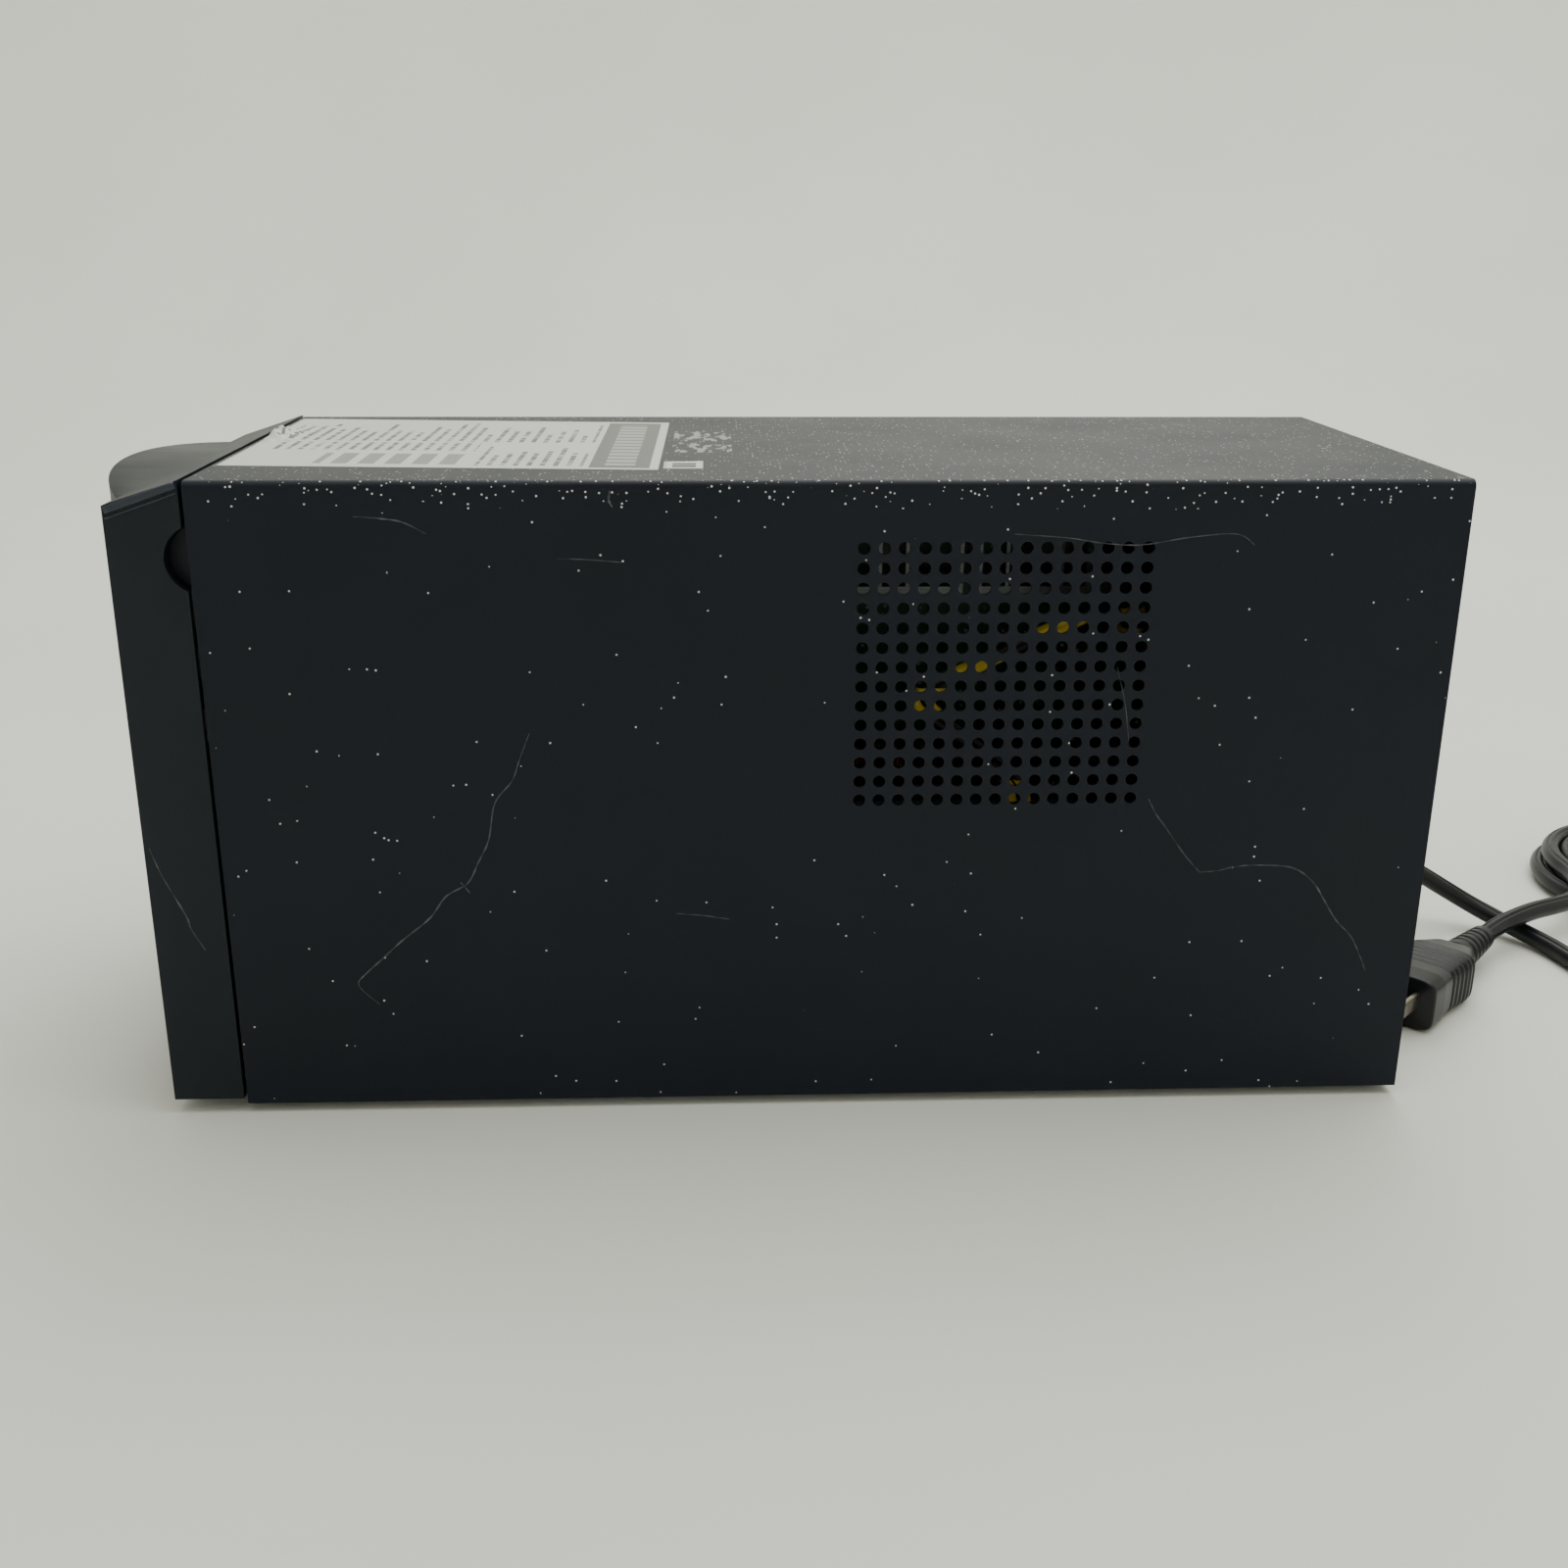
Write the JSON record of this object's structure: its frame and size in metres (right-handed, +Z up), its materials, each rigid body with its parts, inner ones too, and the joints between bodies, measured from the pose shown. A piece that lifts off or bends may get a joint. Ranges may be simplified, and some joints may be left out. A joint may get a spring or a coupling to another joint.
{
  "type": "uninterruptible power supply",
  "caption": "Tower battery backup power unit: steel case with side vents, bowed plastic bezel, slide-out battery tray, rear outlets, fan and a coiled mains cord.",
  "frame": {"origin": "middle of the footprint on the surface the unit stands on, cord not counted", "axes": "+Z up, +X towards the rear panel, -X the front bezel, +Y the right-hand side seen from the rear"},
  "size_m": [0.7025, 0.2429, 0.2199],
  "materials": {
    "case_paint": "fine powder coat",
    "zinc_steel": "zinc plated",
    "bezel_plastic": "fine texture",
    "dark_plastic": "moulded",
    "button_plastic": "satin",
    "window": "gloss",
    "lcd": "satin",
    "circuit_board": "solder mask",
    "light_pipe": "clear",
    "rubber": "matte",
    "screw_steel": "bright zinc",
    "black_steel": "black zinc",
    "label": "printed film",
    "core_steel": "varnished laminations",
    "coil_tape": "polyester tape",
    "wire_yellow": "satin",
    "brass": "satin",
    "aluminium": "extruded",
    "capacitor": "sleeve",
    "choke_wire": "enamelled wire",
    "jack_shell": "plated",
    "battery_case": "moulded",
    "lead_red": "insulation",
    "cord_pvc": "satin PVC"
  },
  "bodies": {
    "case": {"top_cover": "case_paint", "base_tray": "case_paint", "rear_panel": "case_paint", "front_frame": "case_paint", "rubber_feet": "rubber", "cover_screws": "black_steel", "top_label": "label", "barcode_label": "label", "battery_bay": "zinc_steel", "transformer_core": "core_steel", "transformer_coil": "coil_tape", "transformer_bracket": "zinc_steel", "transformer_leads": "wire_yellow", "board_plate": "zinc_steel", "board_spacers": "brass", "main_board": "circuit_board", "heat_sinks": "aluminium", "power_transistors": "dark_plastic", "capacitors": "capacitor", "relays": "dark_plastic", "line_choke": "choke_wire", "comm_board": "circuit_board", "usb_port": "jack_shell", "serial_port": "jack_shell", "line_jacks": "dark_plastic", "slot_cover": "case_paint", "slot_screws": "screw_steel", "outlet_bank_inner": "dark_plastic", "outlet_bank_outer": "dark_plastic", "breaker_body": "dark_plastic", "earth_screw": "brass", "fan_frame": "dark_plastic", "fan_guard": "screw_steel", "fan_screws": "screw_steel", "cord_gland": "dark_plastic", "bay_socket": "dark_plastic", "cord_relief": "cord_pvc", "cord_lead": "cord_pvc", "cord_coil": "cord_pvc", "cord_tail": "cord_pvc", "cord_tie": "cord_pvc", "plug_body": "cord_pvc"},
    "bezel": {"bezel_shell": "bezel_plastic", "display_window": "window", "lcd_module": "lcd", "display_board": "circuit_board", "light_pipes": "light_pipe"},
    "tray": {"battery_tray": "zinc_steel", "battery_left": "battery_case", "battery_right": "battery_case", "battery_terminals": "screw_steel", "battery_leads": "lead_red", "battery_plug": "dark_plastic", "tray_handle": "dark_plastic", "tray_screws": "screw_steel"},
    "power_key": {"power_button": "button_plastic"},
    "scroll_key": {"scroll_button": "button_plastic"},
    "select_key": {"select_button": "button_plastic"},
    "breaker_key": {"breaker_button": "button_plastic"},
    "rotor": {"fan_rotor": "dark_plastic"}
  },
  "joints": [
    {"name": "bezel_pull", "type": "slide", "parent": "case", "child": "bezel", "axis": [-1, 0, 0], "range_m": [0, 0.24]},
    {"name": "tray_slide", "type": "slide", "parent": "case", "child": "tray", "axis": [-1, 0, 0], "range_m": [0, 0.2]},
    {"name": "power_press", "type": "slide", "parent": "bezel", "child": "power_key", "axis": [1, 0, 0], "range_m": [0, 0.002], "stiffness_N_per_m": 400},
    {"name": "scroll_press", "type": "slide", "parent": "bezel", "child": "scroll_key", "axis": [1, 0, 0], "range_m": [0, 0.002], "stiffness_N_per_m": 400},
    {"name": "select_press", "type": "slide", "parent": "bezel", "child": "select_key", "axis": [1, 0, 0], "range_m": [0, 0.002], "stiffness_N_per_m": 400},
    {"name": "breaker_press", "type": "slide", "parent": "case", "child": "breaker_key", "axis": [-1, 0, 0], "range_m": [0, 0.003], "stiffness_N_per_m": 600},
    {"name": "fan_spin", "type": "hinge", "parent": "case", "child": "rotor", "pos_m": [0.198, 0.0467, 0.1765], "axis": [1, 0, 0], "continuous": true}
  ],
  "couplings": [
    {"joint": "tray_slide", "follows": "bezel_pull", "ratio": 0.8}
  ]
}
